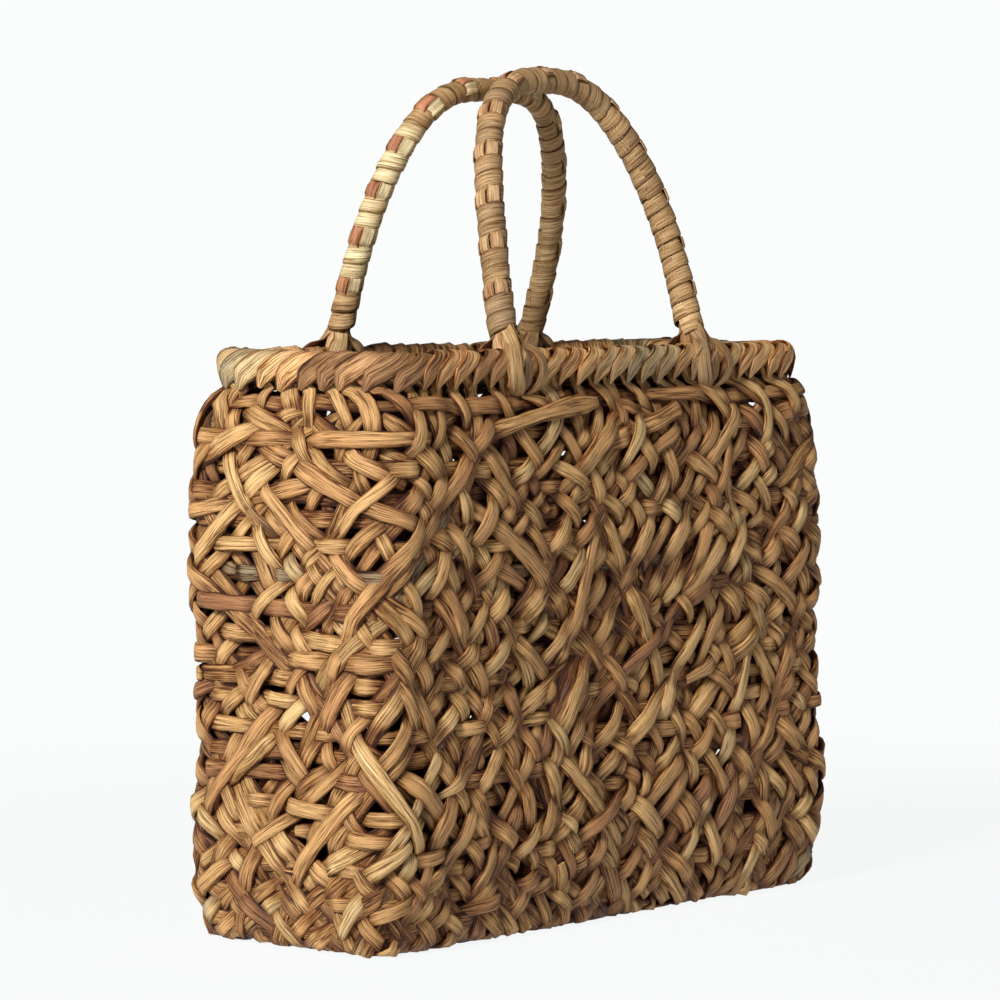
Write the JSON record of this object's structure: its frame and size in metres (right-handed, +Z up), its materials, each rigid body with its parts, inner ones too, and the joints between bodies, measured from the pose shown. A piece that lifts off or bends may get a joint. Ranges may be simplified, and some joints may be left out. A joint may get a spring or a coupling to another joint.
{
  "type": "grapevine basket bag",
  "caption": "Rectangular handbag woven from split vine strips, with a lashed rim and two wrapped arch handles that swing on the rim.",
  "frame": {"origin": "on the ground under the middle of the base", "axes": "+X along the width, -Y at the front face, +Z up"},
  "size_m": [0.3044, 0.1188, 0.354],
  "materials": {
    "stake_bark": "split grapevine bark, tan brown, matt with fine lengthwise fibres",
    "long_stake_bark": "split grapevine bark, darker brown, matt with fine lengthwise fibres",
    "hoop_bark": "split grapevine bark, ochre brown, matt with fine lengthwise fibres",
    "rim_rod": "half-round vine rod, brown, matt",
    "lashing_bark": "split grapevine bark, orange brown to grey brown, satin where handled",
    "handle_rod": "bent vine rod, dark brown, matt",
    "pattern_bark": "split grapevine bark, red brown, satin",
    "wrap_bark": "split grapevine bark, tan to cream, satin where handled",
    "band_bark": "split grapevine bark, tan brown, matt"
  },
  "bodies": {
    "basket": {"cross_stake_01": "stake_bark", "cross_stake_02": "stake_bark", "cross_stake_03": "stake_bark", "cross_stake_04": "stake_bark", "cross_stake_05": "stake_bark", "cross_stake_06": "stake_bark", "cross_stake_07": "stake_bark", "cross_stake_08": "stake_bark", "cross_stake_09": "stake_bark", "cross_stake_10": "stake_bark", "cross_stake_11": "stake_bark", "long_stake_1": "long_stake_bark", "long_stake_2": "long_stake_bark", "long_stake_3": "long_stake_bark", "hoop_01": "hoop_bark", "hoop_02": "hoop_bark", "hoop_03": "hoop_bark", "hoop_04": "hoop_bark", "hoop_05": "hoop_bark", "hoop_06": "hoop_bark", "hoop_07": "hoop_bark", "hoop_08": "hoop_bark", "hoop_09": "hoop_bark", "hoop_10": "hoop_bark", "rim_hoop_outer": "rim_rod", "rim_hoop_inner": "rim_rod", "rim_lashing_front": "lashing_bark", "rim_lashing_right": "lashing_bark", "rim_lashing_back": "lashing_bark", "rim_lashing_left": "lashing_bark"},
    "front_handle": {"front_handle_core": "handle_rod", "front_pattern_strip": "pattern_bark", "front_wrap_right": "wrap_bark", "front_band_right_a": "band_bark", "front_band_right_b": "band_bark", "front_wrap_left": "wrap_bark", "front_band_left_a": "band_bark", "front_band_left_b": "band_bark"},
    "rear_handle": {"rear_handle_core": "handle_rod", "rear_pattern_strip": "pattern_bark", "rear_wrap_right": "wrap_bark", "rear_band_right_a": "band_bark", "rear_band_right_b": "band_bark", "rear_wrap_left": "wrap_bark", "rear_band_left_a": "band_bark", "rear_band_left_b": "band_bark"}
  },
  "joints": [
    {"name": "front_handle_swing", "type": "hinge", "parent": "basket", "child": "front_handle", "pos_m": [0, -0.04335, 0.23185], "axis": [1, 0, 0], "range_deg": [0, 90]},
    {"name": "rear_handle_swing", "type": "hinge", "parent": "basket", "child": "rear_handle", "pos_m": [0, 0.04335, 0.23185], "axis": [-1, 0, 0], "range_deg": [0, 90]}
  ]
}
